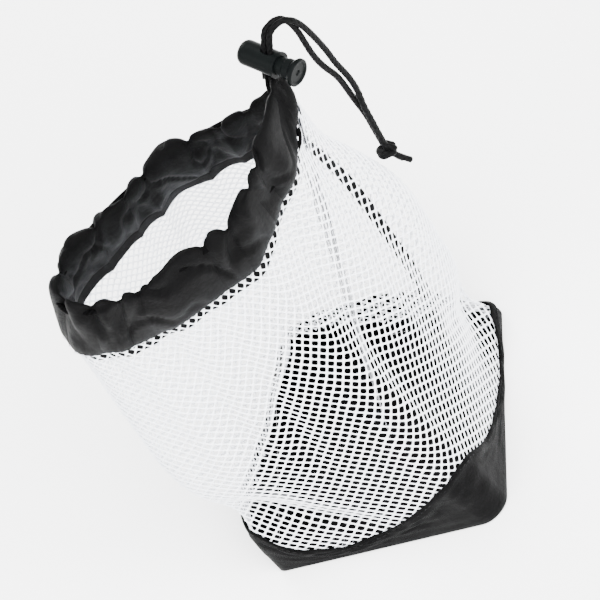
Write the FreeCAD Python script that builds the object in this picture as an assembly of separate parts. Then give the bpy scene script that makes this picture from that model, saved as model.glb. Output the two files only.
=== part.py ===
import FreeCAD
import Part
import math
import os
from FreeCAD import Vector

# A small drawstring ball bag that stands open on its square base.
# Millimetres, +Z up. The origin is the middle of the base, on the floor, and
# the base's edges lie along X and Y. The mouth is an oval whose long axis is
# turned from +X, so places near the mouth are given as (along, across, height):
# along the mouth's long axis, across it, and above the floor.

# Base: a square panel with a scalloped wall, high at the corners.
base_side = 110.0
base_corner_power = 18
base_panel_thickness = 1.2
base_wall_thickness = 1.0
base_corner_height = 38.0
base_middle_height = 11.0
scallop_end_flat = 9.0
scallop_half_width = base_side / 2 - scallop_end_flat

# Net body: one panel, square below and oval at the collar seam.
net_top = 191.0
net_thickness = 1.0
net_bulge = 6.0
net_lean_power = 1.15
net_overlap = 6.0
layer_gap = 0.15

# Mouth: the oval at the collar seam and the oval at the top of the collar.
mouth_turn = -58.6
seam_oval_long = 74.0
seam_oval_short = 31.0
seam_oval_middle = (-10.0, 9.5)
rim_oval_long = 69.0
rim_oval_short = 27.0
rim_oval_middle = (-7.0, 6.0)

# Collar: a hollow casing for the drawstring.
casing_height = 39.0
casing_wall = 0.9
casing_end_depth = 1.4
casing_middle_depth = 4.6
casing_shoulder_depth = 3.6
nose_root_across = 15.0
nose_root_along = 6.5
nose_root_inset = 1.5
nose_root_drop = 8.0
nose_tip_wall = 1.5

# Seam tapes and thread.
tape_thickness = 0.8
collar_tape_width = 6.2
side_tape_width = 6.0
side_seam_angle = 18.0
stitch_length = 3.0
stitch_width = 0.6
stitch_pitch = 6.0
bartack_length = 4.2
bartack_thickness = 0.7
bartack_sink = 0.1
bartack_setback = 0.3

# Drawstring: braided cord.
cord_diameter = 3.0
cord_gap = 0.1
cord_spacing = cord_diameter + cord_gap
cord_clearance = 0.25
cord_depth_in_casing = 8.0
loop_points = 20
loop_open_angle = 28.0
exit_points = 5
exit_rise = 10.0
exit_turn_a = (-3.8, -4.5, 2.5)
exit_turn_b = (-4.4, 10.5, 2.5)

# Cord lock: a barrel with a sprung plunger, seated over the collar's nose.
lock_from_rim_end = (3.0, 6.0, 28.5)
lock_button_direction = (0.42, -0.90, -0.10)
lock_cord_direction = (0.426, 0.0, 0.906)
lock_to_nose_gap = 2.0
barrel_diameter = 12.0
barrel_length = 21.0
barrel_wall = 1.3
barrel_bore = barrel_diameter - 2 * barrel_wall
barrel_end_wall = 2.0
barrel_end_round = 3.2
barrel_rim_height = 1.2
barrel_rim_step = 0.35
hole_from_rim = 6.3
hole_side_clearance = 0.3
hole_end_clearance = 0.45
hole_width = cord_diameter + 2 * hole_side_clearance
hole_length = cord_spacing + cord_diameter + 2 * hole_end_clearance
scoop_radius = 8.0
scoop_depth = 0.7
plunger_clearance = 0.1
plunger_travel = 3.0
plunger_wall = 2.0
plunger_exposed = 10.7
plunger_edge = 0.5
neck_past_bore = 0.3
neck_slope = 1.0
flange_past_barrel = 0.7
flange_thickness = 2.4
flange_slope = 1.2
flange_edge = 0.6
flange_round = 0.5
flange_rim = 1.3
dish_depth = 0.7
dimple_radius = 1.5
dimple_depth = 0.6
dimple_slope = 0.4
spring_wire = 0.6
spring_side_clearance = 1.2
spring_diameter = barrel_bore - 2 * spring_side_clearance
spring_turns = 4.5
spring_end_gap = 0.1

# Free cord past the lock, as (along, across, height) from the lock's middle.
strand_a_hang = [
    (6.4, -0.2, 13.5),
    (10.6, -0.5, 17.2),
    (15.9, -1.0, 18.0),
    (19.9, -1.2, 13.9),
    (22.0, -1.0, 5.0),
    (22.9, -0.4, -7.5),
    (23.4, 0.0, -20.0),
    (23.0, 0.0, -32.5),
    (23.9, -0.2, -45.5),
    (23.2, -0.4, -57.0),
    (20.8, -1.1, -68.0),
    (19.7, -1.6, -78.5),
    (18.3, -1.6, -90.0),
    (17.2, -1.5, -101.1),
]
strand_b_hang = [
    (5.1, 2.6, 13.9),
    (9.6, 2.4, 17.1),
    (14.9, 2.0, 17.6),
    (18.0, 1.4, 13.1),
    (18.9, 1.0, 3.0),
    (17.9, 0.7, -8.5),
    (17.2, 0.4, -19.0),
    (17.9, 0.4, -29.5),
    (20.1, 0.8, -41.0),
    (19.9, 1.4, -52.5),
    (19.5, 1.9, -64.0),
    (19.5, 1.8, -76.5),
    (18.3, 1.8, -88.5),
    (17.2, 1.7, -100.9),
]
tail_a_points = [(17.9, -1.1, -107.9), (19.9, -1.7, -113.7), (22.4, -2.2, -118.7)]
tail_b_points = [(17.0, 2.1, -108.3), (18.3, 2.2, -114.5), (20.0, 2.4, -119.9)]
knot_middle = (16.6, 0.0, -104.5)
knot_size = (10.4, 9.8, 9.3)

# How finely the rings of the soft form are drawn.
ring_steps = 64
ring_arcs = 16


def mouth_place(along, across, height):
    """A point given by the mouth's axes, in the part's own frame."""
    turn = math.radians(mouth_turn)
    x = along * math.cos(turn) - across * math.sin(turn)
    y = along * math.sin(turn) + across * math.cos(turn)
    return Vector(x, y, height)


def square_point(angle, half_side):
    """Where a ray at this angle meets the square with rounded corners."""
    across = abs(math.cos(angle)) ** base_corner_power
    along = abs(math.sin(angle)) ** base_corner_power
    reach = half_side / (across + along) ** (1.0 / base_corner_power)
    return Vector(reach * math.cos(angle), reach * math.sin(angle), 0)


def oval_point(angle, long_half, short_half, middle):
    """Where a ray at this angle from the oval's middle meets the oval."""
    turned = angle - math.radians(mouth_turn)
    reach = 1.0 / math.hypot(math.cos(turned) / long_half, math.sin(turned) / short_half)
    spoke = Vector(reach * math.cos(angle), reach * math.sin(angle), 0)
    return mouth_place(middle[0], middle[1], 0) + spoke


def ring_angles():
    return [2 * math.pi * step / ring_steps for step in range(ring_steps)]


def moved_out(points, offset):
    """The ring moved outwards along its own normals."""
    moved = []
    for index, point in enumerate(points):
        ahead = points[(index + 1) % len(points)]
        behind = points[index - 1]
        tangent = (ahead - behind).normalize()
        moved.append(point + Vector(tangent.y, -tangent.x, 0) * offset)
    return moved


def body_ring(height, offset=0.0):
    """One level of the bag: the base square running into the collar's oval."""
    share = (height / net_top) ** net_lean_power
    points = []
    for angle in ring_angles():
        square = square_point(angle, base_side / 2)
        oval = oval_point(angle, seam_oval_long, seam_oval_short, seam_oval_middle)
        swell = net_bulge * math.sin(math.pi * share)
        outward = Vector(math.cos(angle), math.sin(angle), 0)
        flat = square * (1 - share) + oval * share + outward * swell
        points.append(Vector(flat.x, flat.y, height))
    return moved_out(points, offset)


def collar_oval(height):
    """Half axes and middle of the collar's oval at this height."""
    share = (height - net_top) / casing_height
    long_half = seam_oval_long + (rim_oval_long - seam_oval_long) * share
    short_half = seam_oval_short + (rim_oval_short - seam_oval_short) * share
    low, high = seam_oval_middle, rim_oval_middle
    middle = (low[0] + (high[0] - low[0]) * share, low[1] + (high[1] - low[1]) * share)
    return long_half, short_half, middle


def oval_wire(middle, height, along_half, across_half):
    centre = mouth_place(middle[0], middle[1], height)
    along_end = mouth_place(middle[0] + along_half, middle[1], height)
    across_end = mouth_place(middle[0], middle[1] + across_half, height)
    if along_half < across_half:
        along_end, across_end = across_end, along_end
    return Part.Wire([Part.Ellipse(along_end, across_end, centre).toShape()])


def closed_wire(points):
    """A smooth closed line through the points, in equal arcs that run into each other."""
    count = len(points)
    span = count // ring_arcs
    edges = []
    for first in range(0, count, span):
        last = first + span
        arc = [points[index % count] for index in range(first, last + 1)]
        leaving = (points[first + 1] - points[first - 1]) / 2
        arriving = (points[(last + 1) % count] - points[last - 1]) / 2
        curve = Part.BSplineCurve()
        knots = [float(index) for index in range(span + 1)]
        curve.interpolate(Points=arc, Parameters=knots, InitialTangent=leaving, FinalTangent=arriving)
        edges.append(curve.toShape())
    return Part.Wire(edges)


def lofted(rings):
    return Part.makeLoft([closed_wire(ring) for ring in rings], True, False)


def body_form(low, high, offset, levels):
    """The bag's outside, moved out by offset, from one height to another."""
    heights = [low + (high - low) * step / (levels - 1) for step in range(levels)]
    return lofted([body_ring(height, offset) for height in heights])


def body_shell(low, high, outside, inside, levels=7):
    """A wall between two offsets of the bag's form."""
    return body_form(low, high, outside, levels).cut(body_form(low, high, inside, levels))


def scallop_rise():
    return base_corner_height - base_middle_height


def scallop_radius():
    return (scallop_half_width ** 2 + scallop_rise() ** 2) / (2 * scallop_rise())


def scallop_height(x, y):
    """Height of the base wall's top edge above a place on the wall."""
    side = min(abs(x), abs(y), scallop_half_width)
    return base_middle_height + scallop_radius() - math.sqrt(scallop_radius() ** 2 - side ** 2)


def above_scallop(drop):
    """All the space above the scalloped seam, lowered by drop."""
    reach = base_side
    corner = base_corner_height - drop
    start = Vector(0, -scallop_half_width, corner)
    middle = Vector(0, 0, base_middle_height - drop)
    end = Vector(0, scallop_half_width, corner)
    outline = [
        Part.LineSegment(Vector(0, -reach, corner), start),
        Part.Arc(start, middle, end),
        Part.LineSegment(end, Vector(0, reach, corner)),
        Part.LineSegment(Vector(0, reach, corner), Vector(0, reach, 2 * net_top)),
        Part.LineSegment(Vector(0, reach, 2 * net_top), Vector(0, -reach, 2 * net_top)),
        Part.LineSegment(Vector(0, -reach, 2 * net_top), Vector(0, -reach, corner)),
    ]
    face = Part.Face(Part.Wire([edge.toShape() for edge in outline]))
    along_x = face.extrude(Vector(2 * reach, 0, 0))
    along_x.translate(Vector(-reach, 0, 0))
    along_y = along_x.copy()
    along_y.rotate(Vector(0, 0, 0), Vector(0, 0, 1), 90)
    return along_x.fuse(along_y)


def base_panel():
    outline = closed_wire(body_ring(0.0, layer_gap / 2))
    return Part.Face(outline).extrude(Vector(0, 0, base_panel_thickness))


def base_wall():
    outside = layer_gap + base_wall_thickness
    shell = body_shell(0.0, base_corner_height + net_overlap, outside, layer_gap, 4)
    return shell.cut(above_scallop(0.0))


def mesh_body():
    shell = body_shell(0.0, net_top, 0.0, -net_thickness)
    return shell.common(above_scallop(net_overlap))


def inner_tape(low, high):
    """A tape lying on the inside of the net, between two heights."""
    outside = -net_thickness - layer_gap
    return body_shell(low, high, outside, outside - tape_thickness)


def collar_seam_tape():
    return inner_tape(net_top - collar_tape_width, net_top - layer_gap)


def side_seam_direction():
    turn = math.radians(mouth_turn + side_seam_angle)
    return Vector(math.cos(turn), math.sin(turn), 0)


def side_seam_tape():
    low = base_corner_height
    high = net_top - collar_tape_width - layer_gap
    window = Part.makeBox(base_side, side_tape_width, net_top)
    window.translate(Vector(0, -side_tape_width / 2, 0))
    window.rotate(Vector(0, 0, 0), Vector(0, 0, 1), mouth_turn + side_seam_angle)
    return inner_tape(low, high).common(window)


def from_rim_end(point):
    """A place given from the end of the collar's rim where the cord leaves."""
    along = rim_oval_middle[0] + rim_oval_long + point[0]
    return mouth_place(along, rim_oval_middle[1] + point[1], net_top + casing_height + point[2])


def lock_middle():
    return from_rim_end(lock_from_rim_end)


def from_lock(point):
    """A place given from the lock's middle."""
    return lock_middle() + mouth_place(*point)


def lock_axes():
    """Directions of the button, of the cord, and across both."""
    button = mouth_place(*lock_button_direction).normalize()
    cord = mouth_place(*lock_cord_direction)
    cord = (cord - button * cord.dot(button)).normalize()
    return button, cord, button.cross(cord)


def nose_tip():
    """Where the cord comes out of the collar's nose."""
    cord = lock_axes()[1]
    return lock_middle() - cord * (barrel_diameter / 2 + lock_to_nose_gap)


def nose_tip_radius():
    return (cord_spacing + cord_diameter) / 2 + cord_clearance + nose_tip_wall


def casing_depth(share):
    """Half the casing's depth at a share of its height."""
    stops = [
        (0.0, casing_end_depth),
        (0.15, casing_shoulder_depth),
        (0.5, casing_middle_depth),
        (0.85, casing_shoulder_depth),
        (1.0, casing_end_depth),
    ]
    for (low, depth_low), (high, depth_high) in zip(stops, stops[1:]):
        if share <= high:
            return depth_low + (depth_high - depth_low) * (share - low) / (high - low)
    return casing_end_depth


def casing_form(side, inset):
    """One face of the casing: side is 1 outside and -1 inside, inset from its skin."""
    trim = inset / casing_height
    wires = []
    for share in (trim, 0.15, 0.5, 0.85, 1.0 - trim):
        height = net_top + layer_gap + (casing_height - layer_gap) * share
        long_half, short_half, middle = collar_oval(height)
        offset = side * (casing_depth(share) - inset)
        wires.append(oval_wire(middle, height, long_half + offset, short_half + offset))
    return Part.makeLoft(wires, True, False)


def collar_nose():
    """The gathered fabric that the cord draws up to the lock."""
    root_height = net_top + casing_height - nose_root_drop
    long_half, short_half, middle = collar_oval(root_height)
    root_middle = (middle[0] + long_half - nose_root_inset, middle[1])
    root = oval_wire(root_middle, root_height, nose_root_along, nose_root_across)
    tip = Part.Wire([Part.Circle(nose_tip(), lock_axes()[1], nose_tip_radius()).toShape()])
    return Part.makeLoft([root, tip], True, True)


def cord_exits():
    """Room for the two cords where they rise through the nose and out of its tip."""
    past_tip = lock_axes()[1]
    route = loop_route()
    near_end = [route[0] + past_tip] + route[1:exit_points]
    far_end = [route[-1] + past_tip] + route[-exit_points:-1][::-1]
    radius = cord_diameter / 2 + cord_clearance
    return [cord_tube(near_end, radius), cord_tube(far_end, radius)]


def collar_casing():
    skin = casing_form(1, 0.0).cut(casing_form(-1, 0.0))
    channel = casing_form(1, casing_wall).cut(casing_form(-1, casing_wall))
    return skin.fuse(collar_nose()).cut(channel).cut(cord_exits())


def cord_tube(points, radius):
    """A round tube along straight runs joined by the largest arcs they allow."""
    edges = []
    start = points[0]
    for before, corner, after in zip(points, points[1:], points[2:]):
        back = (before - corner).normalize()
        ahead = (after - corner).normalize()
        shorter = min((corner - before).Length, (after - corner).Length)
        setback = 0.45 * shorter
        half_turn = (math.pi - back.getAngle(ahead)) / 2
        bend = setback / math.tan(half_turn)
        arc_start = corner + back * setback
        arc_end = corner + ahead * setback
        towards = (back + ahead).normalize()
        arc_middle = corner + towards * (bend / math.cos(half_turn) - bend)
        edges.append(Part.LineSegment(start, arc_start).toShape())
        edges.append(Part.Arc(arc_start, arc_middle, arc_end).toShape())
        start = arc_end
    edges.append(Part.LineSegment(start, points[-1]).toShape())
    spine = Part.Wire(edges)
    section = Part.Circle(points[0], points[1] - points[0], radius)
    return spine.makePipeShell([Part.Wire([section.toShape()])], True, True)


def cord_bends(points):
    """Radius of each arc of a cord's route."""
    bends = []
    for before, corner, after in zip(points, points[1:], points[2:]):
        half_turn = (after - corner).getAngle(corner - before) / 2
        shorter = min((corner - before).Length, (after - corner).Length)
        bends.append(0.45 * shorter / math.tan(half_turn))
    return bends


def strand_start(side):
    """Where one strand leaves the nose: side is 1 towards the button, -1 away."""
    return nose_tip() + lock_axes()[0] * (side * cord_spacing / 2)


def strand_route(side, hang):
    return [strand_start(side)] + [from_lock(point) for point in hang]


def loop_route():
    """The drawstring's way round the casing, from one strand to the other."""
    cord = lock_axes()[1]
    height = net_top + casing_height - cord_depth_in_casing
    long_half, short_half, middle = collar_oval(height)
    round_points = []
    span = 360.0 - 2 * loop_open_angle
    for step in range(loop_points):
        angle = math.radians(-loop_open_angle - span * step / (loop_points - 1))
        along = middle[0] + long_half * math.cos(angle)
        across = middle[1] + short_half * math.sin(angle)
        round_points.append(mouth_place(along, across, height))
    start, end = strand_start(1), strand_start(-1)
    ends_a = [start, start - cord * exit_rise, from_rim_end(exit_turn_a)]
    ends_b = [from_rim_end(exit_turn_b), end - cord * exit_rise, end]
    return ends_a + round_points + ends_b


def cord_knot():
    knot = Part.makeSphere(0.5)
    scale = FreeCAD.Matrix()
    scale.scale(*knot_size)
    knot = knot.transformGeometry(scale)
    knot.rotate(Vector(0, 0, 0), Vector(0, 0, 1), mouth_turn)
    knot.translate(from_lock(knot_middle))
    return knot


def in_lock_place(shape):
    """Moves a piece drawn with Z to the button and X along the cord to the lock."""
    button, cord, sideways = lock_axes()
    middle = lock_middle()
    placed = shape.copy()
    placed.Placement = FreeCAD.Placement(FreeCAD.Matrix(
        cord.x, sideways.x, button.x, middle.x,
        cord.y, sideways.y, button.y, middle.y,
        cord.z, sideways.z, button.z, middle.z,
        0, 0, 0, 1,
    )).multiply(shape.Placement)
    return placed


def turned(outline):
    """A solid of revolution about Z from an outline of (radius, height) points."""
    points = [Vector(radius, 0, height) for radius, height in outline]
    face = Part.Face(Part.makePolygon(points + points[:1]))
    return face.revolve(Vector(0, 0, 0), Vector(0, 0, 1), 360)


def rounded_hole(low, high, width, reach):
    """A hole along X with round ends, from low to high along Z."""
    half = width / 2
    middle = Part.makeBox(2 * reach, width, high - low - width, Vector(-reach, -half, low + half))
    lower = Part.makeCylinder(half, 2 * reach, Vector(-reach, 0, low + half), Vector(1, 0, 0))
    upper = Part.makeCylinder(half, 2 * reach, Vector(-reach, 0, high - half), Vector(1, 0, 0))
    return middle.fuse([lower, upper])


def barrel_rear():
    return hole_from_rim - barrel_length


def lock_barrel():
    radius = barrel_diameter / 2
    rear = barrel_rear()
    body = Part.makeCylinder(radius, barrel_length, Vector(0, 0, rear))
    rear_edge = [edge for edge in body.Edges if abs(edge.BoundBox.ZMax - rear) < 0.01]
    body = body.makeFillet(barrel_end_round, rear_edge)
    rim_low = hole_from_rim - barrel_rim_height
    rim = Part.makeCylinder(radius + barrel_rim_step, barrel_rim_height, Vector(0, 0, rim_low))
    body = body.fuse(rim)
    pocket_low = rear + barrel_end_wall
    pocket = Part.makeCylinder(barrel_bore / 2, barrel_length, Vector(0, 0, pocket_low))
    scoop_place = radius + scoop_radius - scoop_depth
    scoops = [Part.makeSphere(scoop_radius, Vector(side * scoop_place, 0, 0)) for side in (1, -1)]
    hole = rounded_hole(-hole_length / 2, hole_length / 2, hole_width, radius * 2)
    return in_lock_place(body.cut([pocket, hole] + scoops).removeSplitter())


def plunger_slot_rear():
    return -(cord_spacing + cord_diameter) / 2 - cord_clearance


def plunger_rear():
    return plunger_slot_rear() - plunger_wall


def lock_plunger():
    radius = barrel_bore / 2 - plunger_clearance
    neck_radius = barrel_bore / 2 + neck_past_bore
    flange_radius = barrel_diameter / 2 + flange_past_barrel
    dish_radius = flange_radius - flange_rim
    top = hole_from_rim + plunger_exposed
    flange_low = top - flange_thickness
    neck_low = hole_from_rim + plunger_travel + plunger_clearance
    outline = [
        (0, plunger_rear()),
        (radius - plunger_edge, plunger_rear()),
        (radius, plunger_rear() + plunger_edge),
        (radius, neck_low),
        (neck_radius, neck_low + neck_slope),
        (neck_radius, flange_low - flange_slope),
        (flange_radius - flange_round, flange_low),
        (flange_radius, flange_low + flange_edge),
        (flange_radius, top - flange_round),
        (flange_radius - flange_round, top),
        (dish_radius, top),
        (dish_radius - dish_depth, top - dish_depth),
        (dimple_radius, top - dish_depth),
        (dimple_radius - dimple_slope, top - dish_depth - dimple_depth),
        (0, top - dish_depth - dimple_depth),
    ]
    slot_front = -plunger_slot_rear() + plunger_travel
    slot = rounded_hole(plunger_slot_rear(), slot_front, hole_width, barrel_diameter)
    return in_lock_place(turned(outline).cut(slot))


def lock_spring():
    low = barrel_rear() + barrel_end_wall + spring_end_gap + spring_wire / 2
    high = plunger_rear() - spring_end_gap - spring_wire / 2
    pitch = (high - low) / spring_turns
    radius = (spring_diameter - spring_wire) / 2
    helix = Part.makeHelix(pitch, high - low, radius)
    section = Part.Circle(Vector(radius, 0, 0), Vector(0, 1, 0), spring_wire / 2)
    spring = Part.Wire(helix.Edges).makePipeShell([Part.Wire([section.toShape()])], True, True)
    spring.translate(Vector(0, 0, low))
    return in_lock_place(spring)


def stitch(place, along, outward):
    """One stitch: a short bar of thread lying half in the cloth."""
    up = outward.cross(along).normalize()
    bar = Part.makeBox(stitch_length, stitch_width, stitch_width)
    bar.translate(Vector(-stitch_length / 2, -stitch_width / 2, -stitch_width / 2))
    bar.Placement = FreeCAD.Placement(FreeCAD.Matrix(
        along.x, outward.x, up.x, place.x,
        along.y, outward.y, up.y, place.y,
        along.z, outward.z, up.z, place.z,
        0, 0, 0, 1,
    )).multiply(bar.Placement)
    return bar


def spread_along(points, closed):
    """Places one stitch pitch apart along a line of points, with its direction."""
    line = points + points[:1] if closed else points
    lengths = [(after - before).Length for before, after in zip(line, line[1:])]
    count = int(sum(lengths) / stitch_pitch)
    pitch = sum(lengths) / count
    places = []
    passed = 0.0
    for before, after, length in zip(line, line[1:], lengths):
        while (len(places) + 0.5) * pitch < passed + length:
            share = ((len(places) + 0.5) * pitch - passed) / length
            places.append((before + (after - before) * share, (after - before).normalize()))
        passed += length
    return places


def stitch_row(points, closed=True):
    """A row of stitches round a ring, each facing away from the ring."""
    stitches = []
    for place, along in spread_along(points, closed):
        outward = along.cross(Vector(0, 0, 1)).normalize()
        stitches.append(stitch(place, along, outward))
    return Part.makeCompound(stitches)


def base_stitches():
    """Thread just under the base wall's scalloped edge."""
    points = []
    for index, flat in enumerate(body_ring(0.0)):
        height = scallop_height(flat.x, flat.y) - net_overlap / 2
        points.append(body_ring(height, layer_gap + base_wall_thickness)[index])
    return stitch_row(points)


def collar_stitches():
    """Thread round the foot of the casing."""
    height = net_top + layer_gap + casing_wall
    long_half, short_half, middle = collar_oval(height)
    offset = casing_depth(casing_wall / casing_height)
    points = []
    for angle in ring_angles():
        along = middle[0] + (long_half + offset) * math.cos(angle)
        across = middle[1] + (short_half + offset) * math.sin(angle)
        points.append(mouth_place(along, across, height))
    return stitch_row(points)


def side_seam_stitches():
    """Thread up the middle of the side seam."""
    outward = side_seam_direction()
    nearest = max(range(ring_steps), key=lambda index: body_ring(0.0)[index].normalize().dot(outward))
    low = base_corner_height + stitch_length
    high = net_top - collar_tape_width - stitch_length
    levels = 20
    heights = [low + (high - low) * step / levels for step in range(levels + 1)]
    points = [body_ring(height)[nearest] for height in heights]
    stitches = []
    for place, along in spread_along(points, False):
        across = along.cross(outward)
        stitches.append(stitch(place, along, across.cross(along).normalize()))
    return Part.makeCompound(stitches)


def exit_bartacks():
    """Two bars of dense stitching that stop the cord's exit from tearing."""
    button, cord, sideways = lock_axes()
    bars = []
    for side in (1, -1):
        reach = nose_tip_radius() + bartack_thickness / 2 - bartack_sink
        bar = Part.makeBox(bartack_length, bartack_thickness, bartack_thickness)
        rear = -bartack_length - bartack_setback
        bar.translate(Vector(rear, -bartack_thickness / 2, -bartack_thickness / 2))
        place = nose_tip() + button * (side * reach)
        bar.Placement = FreeCAD.Placement(FreeCAD.Matrix(
            cord.x, sideways.x, button.x, place.x,
            cord.y, sideways.y, button.y, place.y,
            cord.z, sideways.z, button.z, place.z,
            0, 0, 0, 1,
        )).multiply(bar.Placement)
        bars.append(bar)
    return Part.makeCompound(bars)


def cord_solid(name, points):
    """Builds one length of cord, and prints its length, bends and volume ratio."""
    tube = cord_tube(points, cord_diameter / 2)
    bends = cord_bends(points)
    length = 0.0
    for before, after in zip(points, points[1:]):
        length += (after - before).Length
    for bend, corner in zip(bends, range(1, len(points) - 1)):
        back = points[corner - 1] - points[corner]
        ahead = points[corner + 1] - points[corner]
        half_turn = (math.pi - back.getAngle(ahead)) / 2
        length -= 2 * bend * (math.tan(half_turn) - half_turn)
    section = math.pi * cord_diameter ** 2 / 4
    print(name, "length", round(length, 1), "volume/section/length",
          round(tube.Volume / (section * length), 4),
          "radii", [round(bend, 1) for bend in bends])
    return tube


def all_pieces():
    return {
        "base_panel": base_panel(),
        "base_wall": base_wall(),
        "base_stitches": base_stitches(),
        "mesh_body": mesh_body(),
        "side_seam_tape": side_seam_tape(),
        "side_seam_stitches": side_seam_stitches(),
        "collar_seam_tape": collar_seam_tape(),
        "collar_casing": collar_casing(),
        "collar_stitches": collar_stitches(),
        "exit_bartacks": exit_bartacks(),
        "drawstring_loop": cord_solid("drawstring_loop", loop_route()),
        "cord_strand_a": cord_solid("cord_strand_a", strand_route(1, strand_a_hang)),
        "cord_strand_b": cord_solid("cord_strand_b", strand_route(-1, strand_b_hang)),
        "cord_knot": cord_knot(),
        "cord_tail_a": cord_solid("cord_tail_a", [from_lock(point) for point in tail_a_points]),
        "cord_tail_b": cord_solid("cord_tail_b", [from_lock(point) for point in tail_b_points]),
        "lock_barrel": lock_barrel(),
        "lock_plunger": lock_plunger(),
        "lock_spring": lock_spring(),
    }


os.makedirs("parts", exist_ok=True)
for node, shape in all_pieces().items():
    shape.exportStep("parts/" + node + ".step")
    box = shape.BoundBox
    print(node, "valid", shape.isValid(), "solids", len(shape.Solids), "volume", round(shape.Volume, 1),
          "z", round(box.ZMin, 2), round(box.ZMax, 2))
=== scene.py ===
import math

import bpy
import numpy as np
from mathutils import Matrix, Vector, noise


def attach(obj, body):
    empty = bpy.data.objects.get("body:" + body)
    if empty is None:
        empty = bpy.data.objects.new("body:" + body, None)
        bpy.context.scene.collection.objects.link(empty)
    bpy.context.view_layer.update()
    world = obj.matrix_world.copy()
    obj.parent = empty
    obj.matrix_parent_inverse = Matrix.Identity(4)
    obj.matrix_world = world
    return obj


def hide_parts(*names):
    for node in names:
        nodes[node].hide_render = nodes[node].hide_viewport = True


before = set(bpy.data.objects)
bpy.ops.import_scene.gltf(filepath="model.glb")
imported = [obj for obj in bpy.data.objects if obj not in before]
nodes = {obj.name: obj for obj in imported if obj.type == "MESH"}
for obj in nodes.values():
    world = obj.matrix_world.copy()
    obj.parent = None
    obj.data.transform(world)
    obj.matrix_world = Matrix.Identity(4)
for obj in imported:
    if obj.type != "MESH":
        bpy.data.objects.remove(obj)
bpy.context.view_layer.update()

# A drawstring ball bag that stands open. The cloth is worked out in millimetres from
# its own flat place: a share of the way round, anticlockwise from the corner under the
# lock, and a height. The piece's points are turned to metres when its mesh is made.
MM = 0.001

# The bag's own sizes, in millimetres.
BASE_HALF = 55.0
MOUTH_TURN = math.radians(-58.6)
SEAM_OVAL = dict(long=74.0, short=31.0, along=-10.0, across=9.5)
RIM_OVAL = dict(long=69.0, short=27.0, along=-7.0, across=6.0)
SEAM_HEIGHT = 191.0
RIM_HEIGHT = 229.0
LOCK_MIDDLE = (65.0, 12.0, 258.5)
BUTTON_DIRECTION = (0.42, -0.90, -0.10)
CORD_DIRECTION = (0.426, 0.0, 0.906)
NOSE_RADIUS = 3.2
CORD_DIAMETER = 3.0
BRAID_STEP = 0.32
BRAID_CLIMB = 4.4
BRAID_GAP = 0.84  # radius in the braid's gaps, as a share of the cord's
BRAID_RELIEF = 0.20
CLOTH_AROUND = 440.0
CLOTH_TALL = 200.0
MOUTH_AROUND = 356.0
NET_STEPS = 154
NET_STEP_UP = 2.9
HOLE_POWER = 1.32
KNOT_POWER = 6.0
NET_SPARE = 6.0
NET_TOP_EDGE = 1.2
NET_OVER_COLLAR = 0.45
NET_OVER_COLLAR_RISE = 0.2
LOWEST_CLOTH = 0.6
NET_INSIDE = -1.1
NET_JOIN = 0.02
WALL_OUTSIDE = 1.0
LOCK_TO_NOSE = 8.0
CORD_SPACING = 3.1
SIDE_SEAM_SHARE = 0.05
BAR_FROM_CORD = 4.1
TAPE_WIDTH = 6.0
TAPE_THICKNESS = 0.5
COLLAR_THICKNESS = 0.4
WALL_THICKNESS = 0.8
PANEL_THICKNESS = 0.9

# Seam of the black base, as (share of the way round from the lock's corner, height).
BASE_SEAM = [
    (0.0, 9.0), (0.014, 15.0), (0.03, 26.0), (0.05, 34.0), (0.12, 34.0), (0.18, 33.0),
    (0.215, 30.0), (0.25, 30.0), (0.28, 25.0), (0.32, 20.0), (0.37, 22.0), (0.43, 31.0),
    (0.47, 41.0), (0.5, 37.5), (0.528, 14.0), (0.576, 7.5), (0.619, 10.0), (0.673, 19.0), (0.705, 27.0),
    (0.75, 39.0), (0.775, 35.0), (0.826, 16.4), (0.851, 12.5), (0.891, 5.5), (0.925, 2.6),
    (0.945, 3.2), (0.975, 8.0),
]
# Where the drawstring pinches the collar, in degrees round the mouth from the lock.
PINCHES = [12, 30, 43, 58, 72, 94, 105, 122, 152, 181, 208, 225, 235, 267, 278, 295, 303, 332]
# How far each lobe between two pinches stands out, from 0 to 1.
LOBES = [0.35, 0.45, 0.4, 0.6, 0.8, 0.5, 0.6, 0.9, 0.8, 0.85, 0.6, 0.5, 1.0, 0.5, 0.75, 0.5, 0.7, 0.4]


def smooth(value):
    value = np.clip(value, 0.0, 1.0)
    return value * value * (3 - 2 * value)


def mouth_place(along, across):
    """Plan place from the mouth's own axes."""
    x = along * math.cos(MOUTH_TURN) - across * math.sin(MOUTH_TURN)
    y = along * math.sin(MOUTH_TURN) + across * math.cos(MOUTH_TURN)
    return np.stack([x, y], axis=-1)


def mouth_point(along, across, height):
    plan = mouth_place(np.float64(along), np.float64(across))
    return np.array([plan[0], plan[1], height])


def lock_axes():
    button = mouth_point(*BUTTON_DIRECTION)
    button /= np.linalg.norm(button)
    cord = mouth_point(*CORD_DIRECTION)
    cord -= button * cord.dot(button)
    cord /= np.linalg.norm(cord)
    return button, cord


def nose_tip():
    return mouth_point(*LOCK_MIDDLE) - lock_axes()[1] * LOCK_TO_NOSE


# ---------------------------------------------------------------- cloth form

def base_ring(share):
    """Plan of the square base, starting at the corner under the lock."""
    corners = np.array([(1, -1), (1, 1), (-1, 1), (-1, -1)]) * BASE_HALF
    total = 0
    spread = np.linspace(-1, 1, 9)
    rounding = 0.005 + 0.022 * toward(share, 0.75, 0.05)
    for shift in spread:
        side = ((share + shift * rounding) % 1.0) * 4
        corner = np.floor(side).astype(int) % 4
        part = (side - np.floor(side))[..., None]
        total = total + corners[corner] * (1 - part) + corners[(corner + 1) % 4] * part
    return total / len(spread)


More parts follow.
